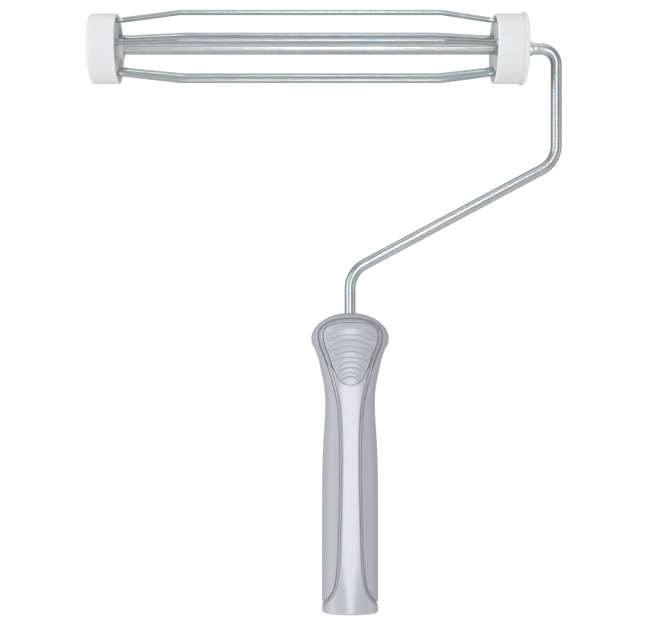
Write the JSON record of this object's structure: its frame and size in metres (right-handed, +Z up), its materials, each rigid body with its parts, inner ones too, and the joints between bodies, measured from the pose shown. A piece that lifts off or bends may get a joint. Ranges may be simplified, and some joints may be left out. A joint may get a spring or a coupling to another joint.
{
  "type": "paint roller",
  "caption": "Paint roller frame: spinning cage of sprung wires between two end caps on a bent zinc-plated rod, with a two-shot moulded grip and a threaded pole socket.",
  "frame": {"origin": "middle of the grip's bottom face, at the mouth of the pole socket", "axes": "+Z up the grip to the cage, +X to the side on which the rod comes down from the cage, +Y away from the viewer, with -Z the way a pole leaves the socket"},
  "size_m": [0.2586, 0.0402, 0.3285],
  "materials": {
    "core_plastic": "satin light grey polypropylene",
    "grip_plastic": "soft satin grey overmould",
    "pad_plastic": "soft satin grey overmould",
    "insert_plastic": "reinforced nylon",
    "zinc_rod": "bright zinc plate, drawn along the rod",
    "zinc_wire": "bright zinc plate on spring wire",
    "spring_steel": "phosphated spring steel",
    "washer_steel": "zinc-plated pressed steel",
    "cap_plastic": "satin white polypropylene",
    "bearing_nylon": "natural nylon"
  },
  "bodies": {
    "frame": {"handle_core": "core_plastic", "side_grip": "grip_plastic", "thumb_pad_front": "pad_plastic", "thumb_pad_rear": "pad_plastic", "pole_socket_insert": "insert_plastic", "frame_rod": "zinc_rod", "axle_push_nut": "spring_steel", "free_end_washer": "washer_steel", "arm_end_washer": "washer_steel"},
    "cage": {"free_end_cap": "cap_plastic", "free_end_plug": "cap_plastic", "free_end_bearing": "bearing_nylon", "arm_end_cap": "cap_plastic", "arm_end_cover": "cap_plastic", "arm_end_bearing": "bearing_nylon", "cage_wire_1": "zinc_wire", "cage_wire_2": "zinc_wire", "cage_wire_3": "zinc_wire", "cage_wire_4": "zinc_wire", "cage_wire_5": "zinc_wire"}
  },
  "joints": [
    {"name": "cage_spin", "type": "hinge", "parent": "frame", "child": "cage", "pos_m": [0, 0, 0.309], "axis": [1, 0, 0], "continuous": true}
  ]
}
